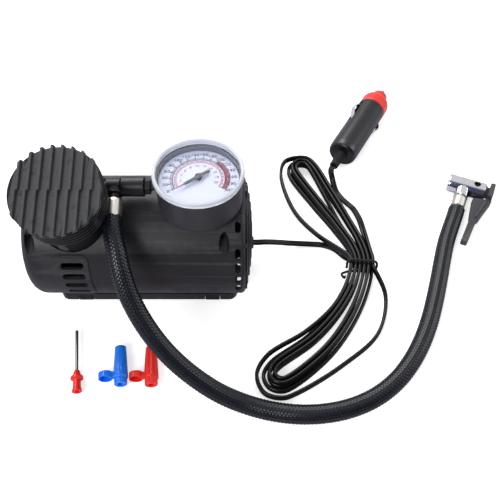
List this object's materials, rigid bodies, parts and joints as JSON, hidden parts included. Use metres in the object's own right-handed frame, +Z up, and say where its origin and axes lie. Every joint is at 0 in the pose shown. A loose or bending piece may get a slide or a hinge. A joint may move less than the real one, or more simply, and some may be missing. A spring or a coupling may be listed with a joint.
{
  "type": "portable tire inflator",
  "caption": "Small barrel-shaped 12 V air pump with a leaning finned cylinder, dial gauge, braided hose with lever chuck, hanked flat cable, plug and inflation tips.",
  "frame": {"origin": "on the surface it stands on, under the middle of the base plate", "axes": "+X along the barrel towards the grille and the cable, +Y to the back where the switch is, +Z up"},
  "size_m": [0.3019, 0.277, 0.115],
  "materials": {
    "shell_plastic": "fine-grained charcoal moulding",
    "dark_plastic": "satin black moulding",
    "gloss_black": "polished black moulding",
    "black_rubber": "matt black",
    "painted_alloy": "black stoved paint on die-cast alloy",
    "steel": "turned",
    "zinc_steel": "zinc plated",
    "chrome": "bright plating",
    "brass": "bright",
    "copper": "lacquered copper winding on a dark core",
    "gear_nylon": "natural nylon",
    "dial_white": "printed plate",
    "pointer_grey": "grey paint",
    "clear_plastic": "clear moulding",
    "lever_plastic": "grey glass-filled moulding",
    "cable_pvc": "smooth black sheath",
    "braid": "woven black cover over rubber",
    "plug_red": "polished red moulding",
    "tip_blue": "polished blue moulding",
    "tip_red": "polished red moulding",
    "magnet": "sintered",
    "fuse_glass": "glass tube"
  },
  "bodies": {
    "housing": {"front_shell": "shell_plastic", "rear_shell": "shell_plastic", "shell_screw_left": "zinc_steel", "shell_screw_right": "zinc_steel", "base_plate": "dark_plastic", "base_pads": "black_rubber", "base_screw_left": "zinc_steel", "base_screw_right": "zinc_steel", "cylinder_block": "painted_alloy", "head_cover": "painted_alloy", "head_gasket": "black_rubber", "valve_plate": "steel", "outlet_valve_ball": "steel", "outlet_valve_spring": "steel", "crank_bearing": "steel", "motor_can": "zinc_steel", "motor_magnet": "magnet", "motor_end_bell": "dark_plastic", "motor_brushes": "magnet", "switch_frame": "dark_plastic", "gauge_case": "gloss_black", "gauge_lens": "clear_plastic", "gauge_dial": "dial_white", "gauge_movement_plate": "brass", "bourdon_tube": "brass", "air_pipe": "dark_plastic", "gauge_nut": "dark_plastic", "hose_ferrule_pump": "chrome", "chuck_body": "chrome", "chuck_seal": "black_rubber", "lever_pin": "steel", "hose_ferrule_chuck": "chrome", "air_hose": "braid", "cable_hank": "cable_pvc", "cable_grommet": "black_rubber", "cable_lead": "cable_pvc", "plug_lead": "cable_pvc", "plug_body": "gloss_black", "strain_relief": "black_rubber", "plug_collar": "plug_red", "plug_fuse": "fuse_glass", "plug_spring": "steel", "hank_tie": "black_rubber", "needle_hub": "tip_red", "needle_tube": "steel", "nozzle_blue": "tip_blue", "nozzle_red": "tip_red"},
    "crank": {"crank_gear": "gear_nylon"},
    "rotor": {"armature": "copper", "pinion": "brass"},
    "piston": {"connecting_rod": "painted_alloy", "crank_pin": "steel", "piston_cup": "black_rubber"},
    "pointer": {"gauge_pointer": "pointer_grey"},
    "sector": {"gauge_sector": "brass"},
    "lever": {"chuck_lever": "lever_plastic"},
    "rocker": {"switch_rocker": "black_rubber"},
    "tip": {"plug_tip": "steel"},
    "contact_upper": {"plug_contact_upper": "chrome"},
    "contact_lower": {"plug_contact_lower": "chrome"}
  },
  "joints": [
    {"name": "crank_spin", "type": "hinge", "parent": "housing", "child": "crank", "pos_m": [-0.0292, 0, 0.0405], "axis": [1, 0, 0], "continuous": true},
    {"name": "motor_spin", "type": "hinge", "parent": "housing", "child": "rotor", "pos_m": [-0.0292, 0.00479, 0.02734], "axis": [1, 0, 0], "continuous": true},
    {"name": "piston_stroke", "type": "slide", "parent": "housing", "child": "piston", "axis": [0, -0.342, 0.9397], "range_m": [-0.016, 0]},
    {"name": "pointer_turn", "type": "hinge", "parent": "housing", "child": "pointer", "pos_m": [0.036, -0.0034, 0.092], "axis": [0, 0, -1], "range_deg": [0, 260]},
    {"name": "sector_turn", "type": "hinge", "parent": "housing", "child": "sector", "pos_m": [0.04289, 0.00239, 0.086], "axis": [0, 0, -1], "range_deg": [-52, 0], "stiffness_Nm_per_rad": 0.002},
    {"name": "lever_swing", "type": "hinge", "parent": "housing", "child": "lever", "pos_m": [0.22366, 0.06765, 0.0066], "axis": [0, 0, 1], "range_deg": [0, 90]},
    {"name": "rocker_tilt", "type": "hinge", "parent": "housing", "child": "rocker", "pos_m": [0.022, 0.03374, 0.05278], "axis": [0, -0.342, 0.9397], "range_deg": [-20, 0]},
    {"name": "tip_press", "type": "slide", "parent": "housing", "child": "tip", "axis": [0.4848, 0.8746, 0], "range_m": [-0.003, 0], "stiffness_N_per_m": 1500},
    {"name": "upper_contact_press", "type": "hinge", "parent": "housing", "child": "contact_upper", "pos_m": [0.14023, 0.12875, 0.01504], "axis": [0.5017, -0.2781, 0.8192], "range_deg": [-5, 0], "stiffness_Nm_per_rad": 0.3},
    {"name": "lower_contact_press", "type": "hinge", "parent": "housing", "child": "contact_lower", "pos_m": [0.15083, 0.12287, 0.00656], "axis": [0.5017, -0.2781, 0.8192], "range_deg": [0, 5], "stiffness_Nm_per_rad": 0.3}
  ],
  "couplings": [
    {"joint": "crank_spin", "follows": "motor_spin", "ratio": -0.29032},
    {"joint": "pointer_turn", "follows": "sector_turn", "ratio": -5}
  ]
}
